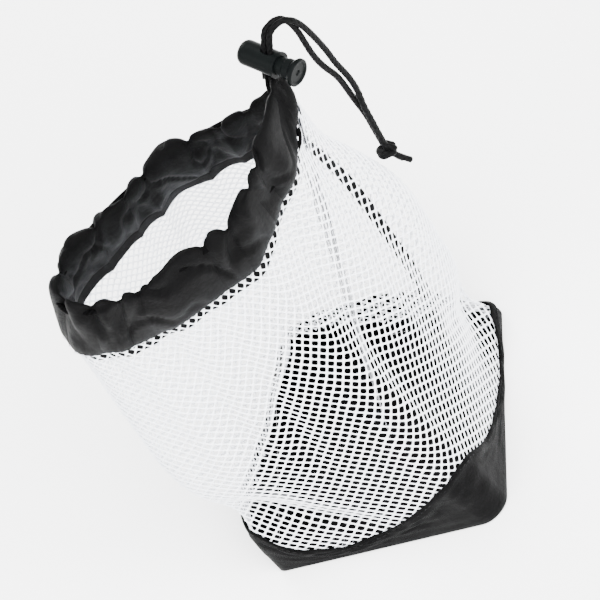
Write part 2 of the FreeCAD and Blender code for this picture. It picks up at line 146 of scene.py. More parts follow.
def oval_angle(share, oval):
    """Angle round an oval for an even share of its length, from the lock's end."""
    angles = np.linspace(0, 2 * math.pi, 1441)
    along = oval["long"] * np.cos(angles)
    across = oval["short"] * np.sin(angles)
    steps = np.hypot(np.diff(along), np.diff(across))
    passed = np.concatenate([[0], np.cumsum(steps)])
    return np.interp(share % 1.0, passed / passed[-1], angles)


def oval_ring(share, oval):
    angle = oval_angle(share, oval)
    return mouth_place(
        oval["along"] + oval["long"] * np.cos(angle),
        oval["across"] + oval["short"] * np.sin(angle),
    )


def share_of_angle(degrees):
    angles = np.linspace(0, 1, 1441)
    return np.interp(math.radians(degrees), oval_angle(angles[:-1], SEAM_OVAL), angles[:-1])


PINCH_SHARES = np.array([share_of_angle(angle) for angle in PINCHES])


def lobe(share):
    """0 at each pinch of the collar, rising to the lobe's own size between them."""
    share = np.asarray(share) % 1.0
    edges = np.concatenate([PINCH_SHARES[-1:] - 1, PINCH_SHARES, PINCH_SHARES[:1] + 1])
    sizes = np.concatenate([LOBES[-1:], LOBES])
    index = np.clip(np.searchsorted(edges, share, side="right") - 1, 0, len(edges) - 2)
    part = (share - edges[index]) / (edges[index + 1] - edges[index])
    return np.sin(np.pi * np.clip(part, 0, 1)) ** 0.7 * sizes[index]


def lock_distance(share):
    """Signed distance round the mouth from the lock: positive on the far side."""
    turned = (np.asarray(share) + 0.5) % 1.0 - 0.5
    return turned * MOUTH_AROUND


def seam_height(share):
    """The collar's foot, which the cord lifts towards the lock."""
    distance = lock_distance(share)
    near = 47 * np.clip(1 + distance / 78, 0, 1) ** 1.1
    far = 47 * smooth((37 - distance) / 37)
    rise = np.where(distance < 0, near, far)
    return SEAM_HEIGHT + rise + 1.6 * (lobe(share) - 0.5)


def rim_height(share):
    distance = lock_distance(share)
    near = 23 * smooth((80 + distance) / 46)
    far = 22 * smooth((31 - distance) / 23)
    rise = np.where(distance < 0, near, far)
    settle = smooth((np.abs(distance) - 8) / 18)
    return RIM_HEIGHT + rise + settle * (5.0 * (lobe(share) - 0.5) - 1.0)


def toward(share, centre_share, width):
    """Nearness to one place round the bag, as a share of the way round."""
    gap = np.abs((np.asarray(share) - centre_share + 0.5) % 1.0 - 0.5)
    return np.exp(-((gap / width) ** 2))


def swell(share, height):
    """How far the net stands out from the straight line between base and mouth."""
    def band(middle, width):
        return np.exp(-(((height - middle) / width) ** 2))
    lock_side = 6.0 * band(125, 42) - 7.0 * band(27, 20) - 3.0 * band(198, 22)
    left_side = 5.5 * band(92, 34) + 2.0 * band(140, 30) - 5.5 * band(46, 17)
    return (
        toward(share, 0.0, 0.075) * lock_side
        + toward(share, 0.5, 0.07) * left_side
        + 3.0 * np.sin(np.pi * np.clip(height / 191, 0, 1))
    )


def corner_lean(share, height):
    """The soft far corner leans in towards the middle: plan shift in millimetres."""
    amount = toward(share, 0.265, 0.065) * smooth(height / 30) * (1 - smooth((height - 40) / 110))
    return amount[:, None] * mouth_place(13.5, -9.0)


# Long soft folds of the net: (share, height) at each end, width and depth.
FOLDS = [
    ((0.700, 191), (0.640, 70), 7.0, -2.6),
    ((0.640, 191), (0.600, 95), 6.0, -2.2),
    ((0.585, 191), (0.560, 85), 6.0, 1.8),
    ((0.790, 196), (0.752, 45), 10.0, 2.6),
    ((0.860, 205), (0.800, 90), 7.0, -2.4),
    ((0.905, 215), (0.860, 80), 7.0, 2.0),
    ((0.950, 225), (0.930, 60), 7.0, -2.2),
    ((0.520, 60), (0.640, 14), 7.0, -2.4),
    ((0.985, 28), (0.905, 60), 8.0, -2.0),
    ((0.120, 190), (0.100, 60), 9.0, -2.2),
    ((0.230, 190), (0.250, 60), 9.0, 2.4),
    ((0.340, 190), (0.330, 70), 9.0, -2.0),
    ((0.430, 190), (0.450, 70), 8.0, 1.8),
]


def folds(share, height):
    total = 0
    for (share_a, height_a), (share_b, height_b), width, depth in FOLDS:
        across = ((share - share_a + 0.5) % 1.0 - 0.5) * CLOTH_AROUND
        up = height - height_a
        run = np.array([(share_b - share_a) * CLOTH_AROUND, height_b - height_a])
        length = np.hypot(*run)
        part = (across * run[0] + up * run[1]) / length ** 2
        off = (across * run[1] - up * run[0]) / length
        ends = smooth((part + 0.15) / 0.3) * smooth((1.2 - part) / 0.5)
        total = total + depth * ends * np.exp(-((off / width) ** 2))
    return total


def plan_normal(ring):
    """Outward directions in plan along a ring whose places run anticlockwise."""
    ahead = np.roll(ring, -1, axis=0)
    behind = np.roll(ring, 1, axis=0)
    along = ahead - behind
    along /= np.linalg.norm(along, axis=-1, keepdims=True)
    return np.stack([along[..., 1], -along[..., 0]], axis=-1)


def between(low, high, count):
    """Rows of heights, evenly apart from low to high."""
    return [low + (high - low) * step for step in np.linspace(0, 1, count)]


def wall_rows(shares, heights, offset=0.0):
    """Points of the net's form: heights is one row of millimetres per level."""
    rows = []
    square = base_ring(shares)
    oval = oval_ring(shares, SEAM_OVAL)
    top = seam_height(shares)
    for height in heights:
        level = height / top
        lean = (np.clip(level, 0, 1) ** 1.06)[:, None]
        ring = square * (1 - lean) + oval * lean
        gather = 2.6 * smooth((level - 0.72) / 0.28) * (lobe(shares) - 0.45)
        out = swell(shares, height) + folds(shares, height) + gather
        out = out * smooth(height / 30 + 0.15)
        normal = plan_normal(ring)
        ring = ring + normal * (out + offset)[:, None] + corner_lean(shares, height)
        rows.append(np.column_stack([ring, height]))
    return np.array(rows)


# ------------------------------------------------------------------- collar

def creases(share, up):
    """Folds of the collar that start at a pinch of the rim and fade down to the foot."""
    rng = np.random.default_rng(12)
    total = 0
    for pinch in PINCH_SHARES:
        slant, fade, deep = rng.uniform(-0.06, 0.06), rng.uniform(-0.2, 0.4), rng.uniform(1.2, 2.9)
        gap = (share - pinch - slant * (1 - up) ** 1.3 + 0.5) % 1.0 - 0.5
        width = 1.9 + 2.6 * (1 - up)
        reach = smooth((up - fade) / 0.45 + 0.12)
        total = total + deep * np.exp(-((gap * MOUTH_AROUND / width) ** 2)) * reach
    return total


def crumple(places, shift):
    """Soft bulges and sharper creases of gathered cloth, about -1 to 1, at places in mm."""
    values = []
    for x, y, z in places.tolist():
        warp = 5.0 * noise.noise(Vector((x / 30 + shift, y / 30, z / 24)))
        bulge = noise.noise(Vector((x / 13 + shift, y / 13, (z + warp) / 24)))
        line = noise.noise(Vector(((x + warp) / 19 - shift, (y + warp) / 19, z / 30)))
        values.append(1.5 * bulge - 1.25 * math.exp(-((line / 0.085) ** 2)))
    return np.array(values)


def soft_lobe(share, spread):
    """The lobes with their edges eased over this many millimetres."""
    shifts = np.linspace(-1, 1, 7) * spread / MOUTH_AROUND
    return sum(lobe(share + shift) for shift in shifts) / len(shifts)


def collar_rows(shares, turns, extra=0.0):
    """The casing: turns runs from 0 at the foot, up outside, over and down inside to 1."""
    foot = seam_height(shares)
    head = rim_height(shares)
    high_ring = oval_ring(shares, RIM_OVAL)
    distance = np.abs(lock_distance(shares))
    bunch = smooth((34 - distance) / 25)
    left_end = toward(shares, 0.5, 0.045)
    rng = np.random.default_rng(7)
    waves = [
        (rng.integers(7, 24), rng.uniform(0, 6.28), rng.uniform(-4, 4), rng.uniform(0.25, 0.6))
        for _ in range(9)
    ]
    rows = []
    nose = nose_tip()[:2]
    gather_start = wall_rows(shares, [foot])[0][:, :2]
    for turn in turns:
        angle = 2 * math.pi * turn
        up = (1 - math.cos(angle)) / 2
        side = math.copysign(abs(math.sin(angle)) ** 0.8, math.sin(angle))
        full = soft_lobe(shares, 3.5 + 9.0 * (1 - up))
        fold = creases(shares, up)
        share_up = smooth(up) * 0.35 + up * 0.65
        ring = gather_start * (1 - share_up) + high_ring * share_up
        height = foot + (head - foot) * up
        wrinkle = crumple(np.column_stack([ring, height]), 9.0 if side < 0 else 3.0)
        depth = 3.0 + 3.4 * full - 1.6 * left_end - 1.0 * fold + 2.0 * wrinkle * (0.25 + 0.75 * up)
        depth = np.maximum(depth, 1.9) * (1 - 0.25 * bunch)
        sway = 2.2 * up * np.sin(shares * 2 * np.pi * 5 + 0.8)
        ripple = sum(
            size * np.sin(2 * np.pi * count * shares + phase + slant * up)
            for count, phase, slant, size in waves
        )
        pull = (bunch * smooth(up * 1.1) * 0.95)[:, None]
        spoke = ring - nose
        spoke /= np.maximum(np.linalg.norm(spoke, axis=1, keepdims=True), 1e-6)
        ring = ring * (1 - pull) + (nose + spoke * NOSE_RADIUS) * pull
        normal = plan_normal(high_ring)
        out = side * (depth + extra) + sway + ripple * 0.6 * (0.4 + 0.6 * up)
        out = out * (1 - 0.15 * bunch * up)
        ring = ring + normal * out[:, None]
        notch = np.minimum(0.9 * np.clip(fold, 0, 2.0) - 1.6 * wrinkle, 1.6) * up ** 3 * (1 - 0.7 * bunch)
        rows.append(np.column_stack([ring, height - notch]))
    return np.array(rows)


# -------------------------------------------------------------- mesh helpers

def linked(name, data):
    """A new object for this data, in the scene."""
    piece = bpy.data.objects.new(name, data)
    bpy.context.scene.collection.objects.link(piece)
    return piece


def grid_object(name, rows, around=True, uv=None, closed_rows=False):
    """A cloth mesh from rows of points; uv gives each point's place on the flat cloth."""
    count_v, count_u = rows.shape[:2]
    vertices = (rows.reshape(-1, 3) * MM).tolist()
    faces = []
    places = []
    last_row = count_v if closed_rows else count_v - 1
    last_column = count_u if around else count_u - 1
    for v in range(last_row):
        for u in range(last_column):
            corner = [(v, u), (v, u + 1), (v + 1, u + 1), (v + 1, u)]
            faces.append([(a % count_v) * count_u + b % count_u for a, b in corner])
            places.append(corner)
    mesh = bpy.data.meshes.new(name)
    mesh.from_pydata(vertices, [], faces)
    if uv is not None:
        layer = mesh.uv_layers.new(name="cloth")
        flat = [uv(*place) for corner in places for place in corner]
        layer.data.foreach_set("uv", np.array(flat, dtype=np.float32).ravel())
    mesh.shade_smooth()
    return linked(name, mesh)


def baked(piece):
    """Turns a piece's modifiers into its mesh."""
    graph = bpy.context.evaluated_depsgraph_get()
    mesh = bpy.data.meshes.new_from_object(piece.evaluated_get(graph))
    piece.modifiers.clear()
    old = piece.data
    piece.data = mesh
    if old.users == 0:
        bpy.data.meshes.remove(old)
    return piece


def thickened(piece, thickness, offset=0.0):
    shell = piece.modifiers.new("thickness", "SOLIDIFY")
    shell.thickness = thickness * MM
    shell.offset = offset
    shell.use_even_offset = False
    return baked(piece)


# ---------------------------------------------------------------- node trees

class Wire:
    """A socket that Python's arithmetic works on, from either side."""

    def __init__(self, board, socket, node):
        self.board = board
        self.socket = socket
        self.node = node

    def out(self, name):
        return Wire(self.board, self.node.outputs[name], self.node)

    def maths(self, operation, first, second):
        return self.board.maths(operation, first, second)

    def __add__(self, other):
        return self.maths("ADD", self, other)

    def __radd__(self, other):
        return self.maths("ADD", other, self)

    def __sub__(self, other):
        return self.maths("SUBTRACT", self, other)

    def __rsub__(self, other):
        return self.maths("SUBTRACT", other, self)

    def __mul__(self, other):
        return self.maths("MULTIPLY", self, other)

    def __rmul__(self, other):
        return self.maths("MULTIPLY", other, self)

    def __truediv__(self, other):
        return self.maths("DIVIDE", self, other)

    def __rtruediv__(self, other):
        return self.maths("DIVIDE", other, self)

    def __mod__(self, other):
        return self.maths("FLOORED_MODULO", self, other)

    def __gt__(self, other):
        return self.maths("GREATER_THAN", self, other)


class Board:
    """Makes the nodes of one tree."""

    def __init__(self, tree):
        self.tree = tree

    def make(self, kind, settings=None, sockets=None, out=0):
        node = self.tree.nodes.new(kind)
        for name, value in (settings or {}).items():
            setattr(node, name, value)
        for key, value in (sockets or {}).items():
            if isinstance(value, Wire):
                self.tree.links.new(value.socket, node.inputs[key])
            else:
                node.inputs[key].default_value = value
        return Wire(self, node.outputs[out] if len(node.outputs) else None, node)

    def maths(self, operation, *values):
        return self.make("ShaderNodeMath", {"operation": operation}, dict(enumerate(values)))

    def vectors(self, operation, first, **others):
        return self.make("ShaderNodeVectorMath", {"operation": operation}, {0: first, **others})

    def split(self, vector):
        return self.make("ShaderNodeSeparateXYZ", {}, {0: vector})

    def vector(self, *values):
        return self.make("ShaderNodeCombineXYZ", {}, dict(enumerate(values)))


class Finish(Board):
    """A material with one main shader."""

    def __init__(self, name, **constants):
        self.material = bpy.data.materials.new(name)
        self.material.use_nodes = True
        super().__init__(self.material.node_tree)
        self.shader = self.tree.nodes["Principled BSDF"]
        for socket, value in constants.items():
            self.shader.inputs[socket.replace("_", " ").title().replace("Ior", "IOR")].default_value = value

    def drive(self, socket, wire):
        self.tree.links.new(wire.socket, self.shader.inputs[socket])

    def coords(self):
        return self.make("ShaderNodeTexCoord").out("Object")

    def cloth_place(self, scale):
        """The piece's own cloth map, in metres, times a scale."""
        place = self.make("ShaderNodeUVMap", {"uv_map": "cloth"})
        return self.vectors("SCALE", place, Scale=scale)

    def noise(self, place, scale, detail=3.0, roughness=0.5):
        return self.make(
            "ShaderNodeTexNoise", {},
            {"Vector": place, "Scale": scale, "Detail": detail, "Roughness": roughness},
        )

    def blend(self, share, first, second, kind="MIX"):
        settings = {"data_type": "RGBA", "blend_type": kind}
        return self.make("ShaderNodeMix", settings, {0: share, 6: first, 7: second}, out=2)

    def bump(self, height, distance, strength=1.0, below=None):
        sockets = {"Height": height, "Distance": distance, "Strength": strength}
        if below is not None:
            sockets["Normal"] = below
        return self.make("ShaderNodeBump", {}, sockets)


def nylon_finish():
    """Black taffeta: fine plain weave, soft sheen and small creases."""
    look = Finish("black nylon cloth", sheen_weight=0.004, sheen_roughness=0.4,
                  sheen_tint=(0.75, 0.8, 0.85, 1), specular_ior_level=0.032)
    place = look.coords()
    broad = look.noise(place, 55.0, 4.0, 0.55)
    tint = look.blend(broad, (0.0004, 0.0004, 0.0005, 1), (0.0009, 0.0009, 0.0010, 1))
    cloth = look.cloth_place(2 * math.pi / 0.00055)
    across = look.split(cloth)
    weave = look.maths("SINE", across.out("X")) * look.maths("SINE", across.out("Y"))
    shade = look.blend(weave * 0.5 + 0.5, (0.7, 0.7, 0.7, 1), (1, 1, 1, 1))
    look.drive("Base Color", look.blend(1.0, tint, shade, "MULTIPLY"))
    look.drive("Roughness", look.noise(place, 140.0, 3.0) * 0.16 + 0.4)
    creases = look.noise(place, 120.0, 5.0, 0.55)
    crumple = look.bump(creases, 0.0011, 0.8)
    look.drive("Normal", look.bump(weave, 0.00006, 0.7, crumple))
    return look.material


def net_finish():
    """White knitted thread with a fine fibre grain."""
    look = Finish("white knitted net", sheen_weight=0.3, specular_ior_level=0.3)
    place = look.coords()
    broad = look.noise(place, 90.0, 2.0)
    fibre = look.noise(place, 2600.0, 4.0, 0.6)
    tint = look.blend(fibre * 0.6 + broad * 0.4, (0.80, 0.83, 0.90, 1), (0.93, 0.945, 0.97, 1))
    look.drive("Base Color", tint)
    look.drive("Roughness", fibre * 0.2 + 0.5)
    look.drive("Normal", look.bump(fibre, 0.0002, 0.7))
    return look.material


def thread_finish(name, dark, light):
    look = Finish(name, sheen_weight=0.01, specular_ior_level=0.1)
    place = look.coords()
    fibre = look.noise(place, 3200.0, 3.0, 0.6)
    look.drive("Base Color", look.blend(fibre, dark, light))
    look.drive("Roughness", fibre * 0.2 + 0.45)
    look.drive("Normal", look.bump(fibre, 0.00015, 0.8))
    return look.material


def cord_finish():
    """Black braided polyester: strands catch the light, and the gaps between them are darkened with painted
    shade.
    """
    look = Finish("black braided cord", specular_ior_level=0.02)
    height = look.make("ShaderNodeAttribute", {"attribute_name": "braid"}).out("Fac")
    place = look.coords()
    fibre = look.noise(place, 2400.0, 3.0, 0.6)
    lit = look.blend(fibre, (0.0012, 0.0012, 0.0012, 1), (0.0045, 0.0045, 0.0048, 1))
    # painted shade: the colour drops to near black where the braid's relief is low, in the gaps between
    # strands
    look.drive("Base Color", look.blend(height, (0.0002, 0.0002, 0.0002, 1), lit))
    look.drive("Roughness", 0.62 - height * 0.18)
    look.drive("Normal", look.bump(fibre, 0.00012, 0.8))
    return look.material


def plain_cord_finish():
    """The same cord where it runs inside the collar, with its braid as a pattern: darker bands of painted
    shade in the gaps between lighter strands.
    """
    look = Finish("black braided cord inside the collar", specular_ior_level=0.01)
    place = look.coords()
    braid = look.make("ShaderNodeTexWave", {"wave_type": "BANDS", "bands_direction": "DIAGONAL"},
                      {"Vector": place, "Scale": 220.0, "Distortion": 1.5})
    # painted shade: the wave bands darken the colour where the braid's gaps would be
    look.drive("Base Color", look.blend(braid, (0.0003, 0.0003, 0.0003, 1), (0.0010, 0.0010, 0.0011, 1)))
    look.drive("Roughness", braid * 0.1 + 0.5)
    look.drive("Normal", look.bump(braid, 0.0003, 0.8))
    return look.material


def plastic_finish():
    """Satin moulded acetal with a faint grain and handling marks."""
    look = Finish("black moulded plastic", specular_ior_level=0.03)
    place = look.coords()
    grain = look.noise(place, 1800.0, 3.0)
    marks = look.noise(place, 260.0, 5.0, 0.6)
    look.drive("Base Color", look.blend(marks, (0.0012, 0.0016, 0.0016, 1), (0.0022, 0.0028, 0.0028, 1)))
    look.drive("Roughness", grain * 0.08 + marks * 0.12 + 0.27)
    look.drive("Normal", look.bump(grain, 0.00004, 0.6, look.bump(marks, 0.00008, 0.4)))
    return look.material


def steel_finish():
    look = Finish("spring wire", metallic=1.0)
    drawn = look.noise(look.coords(), 900.0, 4.0)
    look.drive("Base Color", look.blend(drawn, (0.42, 0.42, 0.44, 1), (0.62, 0.62, 0.64, 1)))
    look.drive("Roughness", drawn * 0.2 + 0.22)
    look.drive("Normal", look.bump(drawn, 0.00003, 0.5))
    return look.material


def tape_finish():
    """Black binding tape with a close diagonal rib, darker in the rib's grooves as painted shade."""
    look = Finish("black binding tape", sheen_weight=0.01, specular_ior_level=0.05)
    cloth = look.cloth_place(2 * math.pi / 0.0007)
    across = look.split(cloth)
    rib = look.maths("SINE", across.out("X") + across.out("Y"))
    # painted shade: the rib's sine darkens the colour in the grooves between the ribs
    dark, light = (0.0006, 0.0006, 0.0007, 1), (0.0016, 0.0016, 0.0018, 1)
    look.drive("Base Color", look.blend(rib * 0.5 + 0.5, dark, light))
    look.drive("Roughness", rib * 0.06 + 0.6)
    look.drive("Normal", look.bump(rib, 0.0001, 0.6))
    return look.material


def floor_finish():
    look = Finish("pale studio floor")
    place = look.coords()
    mottle = look.noise(place, 8.0, 2.0)
    look.drive("Base Color", look.blend(mottle, (0.93, 0.93, 0.93, 1), (0.95, 0.95, 0.95, 1)))
    look.drive("Roughness", mottle * 0.1 + 0.7)
    return look.material


# -------------------------------------------------------------------- camera

def add_camera():
    """Looks down at the open mouth, with the picture rolled."""
    right = Vector((-0.0208, -0.9215, -0.3878)).normalized()
    back = Vector((-0.525, -0.320, 0.789))
    back = (back - right * back.dot(right)).normalized()
    up = back.cross(right)
    aim = Vector((13.3, -1.5, 110.0)) * MM
    camera = linked("camera", bpy.data.cameras.new("camera"))
    camera.data.lens = 1500
    camera.data.sensor_width = 36
    camera.data.clip_end = 40
    place = aim + back * 11.36
    camera.matrix_world = Matrix.Translation(place) @ Matrix((right, up, back)).transposed().to_4x4()
    bpy.context.scene.camera = camera


# --------------------------------------------------------------------- cords

STRAND_A = [
    (71.4, 11.8, 272.0), (75.6, 11.5, 275.7), (80.9, 11.0, 276.5), (84.9, 10.8, 272.4),
    (87.0, 11.0, 263.5), (87.9, 11.6, 251.0), (88.4, 12.0, 238.5), (88.0, 12.0, 226.0),
    (88.9, 11.8, 213.0), (88.2, 11.6, 201.5), (85.8, 10.9, 190.5), (84.7, 10.4, 180.0),
    (83.3, 10.4, 168.5), (82.2, 10.5, 157.4),
]
STRAND_B = [
    (70.1, 14.6, 272.4), (74.6, 14.4, 275.6), (79.9, 14.0, 276.1), (83.0, 13.4, 271.6),
    (83.9, 13.0, 261.5), (82.9, 12.7, 250.0), (82.2, 12.4, 239.5), (82.9, 12.4, 229.0),
    (85.1, 12.8, 217.5), (84.9, 13.4, 206.0), (84.5, 13.9, 194.5), (84.5, 13.8, 182.0),
    (83.3, 13.8, 170.0), (82.2, 13.7, 157.6),
]
TAIL_A = [(82.9, 10.9, 150.6), (84.9, 10.3, 144.8), (87.4, 9.8, 139.8)]
TAIL_B = [(82.0, 14.1, 150.2), (83.3, 14.2, 144.0), (85.0, 14.4, 138.6)]
KNOT_MIDDLE = (81.6, 12.0, 154.0)


def spline_line(name, points):
    """Points read along a smooth cord through its chosen points, in metres."""
    curve = bpy.data.curves.new(name, "CURVE")
    curve.dimensions = "3D"
    curve.resolution_u = 24
    spline = curve.splines.new("NURBS")
    spline.points.add(len(points) - 1)
    for point, place in zip(spline.points, points):
        point.co = (*[float(value) for value in place], 1.0)
    spline.order_u = 3
    spline.use_endpoint_u = True
    holder = linked(name, curve)
    graph = bpy.context.evaluated_depsgraph_get()
    graph.update()
    mesh = bpy.data.meshes.new_from_object(holder.evaluated_get(graph))
    line = np.array([vertex.co[:] for vertex in mesh.vertices])
    bpy.data.objects.remove(holder)
    bpy.data.meshes.remove(mesh)
    return line


def evenly(line, step):
    """The same line with its points one step apart."""
    lengths = np.linalg.norm(np.diff(line, axis=0), axis=1)
    passed = np.concatenate([[0], np.cumsum(lengths)])
    count = max(int(passed[-1] / step), 4)
    wanted = np.linspace(0, passed[-1], count + 1)
    return np.column_stack([np.interp(wanted, passed, line[:, axis]) for axis in range(3)])


def carried_frames(line):
    """A direction across the line at each point, turned no more than it must be."""
    tangents = np.gradient(line, axis=0)
    tangents /= np.linalg.norm(tangents, axis=1, keepdims=True)
    across = np.cross(tangents[0], (0.3, 0.5, 0.81))
    across /= np.linalg.norm(across)
    frames = []
    for tangent in tangents:
        across = across - tangent * across.dot(tangent)
        across /= np.linalg.norm(across)
        frames.append((across.copy(), np.cross(tangent, across)))
    return frames


def braid_height(angle, passed):
    """Relief of a round braid of eight strands, from 0 in the gaps to 1 on a crown."""
    turn = angle * 4 / (2 * math.pi)
    climb = passed / BRAID_CLIMB
    left = np.abs(np.cos(math.pi * (turn + climb)))
    right = np.abs(np.cos(math.pi * (turn - climb)))
    over = np.sign(np.sin(math.pi * (turn + climb)) * np.sin(math.pi * (turn - climb)))
    over = np.where(over == 0, 1, over)
    return np.clip(np.maximum(left * (0.86 + 0.14 * over), right * (0.86 - 0.14 * over)), 0, 1)


def cord_mesh(name, vertices, faces, heights):
    """A mesh that carries the braid's relief at each of its points."""
    mesh = bpy.data.meshes.new(name)
    mesh.from_pydata(vertices, [], faces)
    mesh.attributes.new("braid", "FLOAT", "POINT").data.foreach_set("value", heights.astype(np.float32))
    mesh.shade_smooth()
    return linked(name, mesh)


def braided(name, line, diameter):
    """A braided cord along the line, closed at both ends."""
    sides = 28
    line = evenly(line, BRAID_STEP * MM)
    frames = carried_frames(line)
    angles = np.linspace(0, 2 * math.pi, sides, endpoint=False)
    passed = np.arange(len(line)) * BRAID_STEP
    vertices, heights = [], []
    for point, (across, aside), along in zip(line, frames, passed):
        relief = braid_height(angles, along)
        radius = diameter / 2 * (BRAID_GAP + BRAID_RELIEF * relief)
        ring = point + radius[:, None] * (
            np.cos(angles)[:, None] * across + np.sin(angles)[:, None] * aside
        )
        vertices.append(ring)
        heights.append(relief)
    vertices = np.concatenate(vertices)
    heights = np.concatenate(heights)
    faces = []
    for row in range(len(line) - 1):
        for side in range(sides):
            after = (side + 1) % sides
            low, high = row * sides, (row + 1) * sides
            faces.append([low + side, low + after, high + after, high + side])
    start = len(vertices)
    last = (len(line) - 1) * sides
    vertices = np.concatenate([vertices, line[:1], line[-1:]])
    heights = np.concatenate([heights, [0.3, 0.3]])
    for side in range(sides):
        after = (side + 1) % sides
        faces.append([start, after, side])
        faces.append([start + 1, last + side, last + after])
    return cord_mesh(name, vertices.tolist(), faces, heights)


def cord_points(points):
    return [mouth_point(*point) * MM for point in points]


def strand_start(side):
    return (nose_tip() + lock_axes()[0] * (side * CORD_SPACING / 2)) * MM


def knot_line(offset):
    """One cord's way through the overhand knot, beside its partner."""
    way = [
        (0.2, 0.0, 4.6), (2.0, -1.6, 3.2), (3.1, -2.2, 0.9), (2.4, 1.2, -1.4), (-0.6, 2.9, -1.6),
        (-3.2, 1.4, -0.4), (-3.0, -1.8, 1.0), (-0.4, -3.1, 1.3), (2.2, -2.2, -0.6),
        (1.5, 0.2, -2.2), (0.6, 0.4, -4.2),
    ]
    middle = np.array(KNOT_MIDDLE) + np.array(offset)
    stretch = np.array([1.12, 1.05, 0.98])
    return [mouth_point(*(middle + np.array(place) * stretch)) * MM for place in way]


def joined(name, pieces):
    """Several meshes as one piece."""
    vertices, faces, heights = [], [], []
    for piece in pieces:
        start = len(vertices)
        mesh = piece.data
        vertices += [vertex.co[:] for vertex in mesh.vertices]
        faces += [[start + index for index in face.vertices] for face in mesh.polygons]
        values = np.zeros(len(mesh.vertices), dtype=np.float32)
        mesh.attributes["braid"].data.foreach_get("value", values)
        heights.append(values)
        bpy.data.objects.remove(piece)
    return cord_mesh(name, vertices, faces, np.concatenate(heights))


def make_cords(material):
    knot = joined("overhand_knot", [
        braided("knot_one", spline_line("knot_one", knot_line((0.0, -1.2, 0.3))), CORD_DIAMETER * MM),
        braided("knot_two", spline_line("knot_two", knot_line((0.3, 1.4, -0.4))), CORD_DIAMETER * MM),
    ])
    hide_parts("cord_knot")
    tails = []
    for name, node, points in (
        ("cut_tail_one", "cord_tail_a", TAIL_A),
        ("cut_tail_two", "cord_tail_b", TAIL_B),
    ):
        tail = braided(name, spline_line(name, cord_points(points)), CORD_DIAMETER * MM * 0.95)
        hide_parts(node)
        tails.append(tail)
    for name, node, side, points, going in (
        ("strand_one", "cord_strand_a", 1, STRAND_A, [knot, tails[0]]),
        ("strand_two", "cord_strand_b", -1, STRAND_B, [tails[1]]),
    ):
        start = strand_start(side)
        line = spline_line(name, [start] + cord_points(points))
        strand = braided(name, line, CORD_DIAMETER * MM)
        length = float(np.linalg.norm(np.diff(line, axis=0), axis=1).sum())
        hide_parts(node)
        dress(strand, material, "bag")
    for piece in [knot] + tails:
        dress(piece, material, "bag")


def dress(piece, material, body):
    """Gives a piece its finish and the body that it moves with."""
    piece.data.materials.clear()
    piece.data.materials.append(material)
    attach(piece, body)


# ----------------------------------------------------------------------- net

def new_tree(name, lengths, counts=()):
    """An empty Geometry Nodes tree with its named inputs."""
    tree = bpy.data.node_groups.new(name, "GeometryNodeTree")
    face = tree.interface
    face.new_socket("Geometry", in_out="INPUT", socket_type="NodeSocketGeometry")
    for given_name in lengths:
        face.new_socket(given_name, in_out="INPUT", socket_type="NodeSocketFloat")
    for given_name in counts:
        face.new_socket(given_name, in_out="INPUT", socket_type="NodeSocketInt")
    face.new_socket("Geometry", in_out="OUTPUT", socket_type="NodeSocketGeometry")
    board = Board(tree)
    return tree, board, board.make("NodeGroupInput")


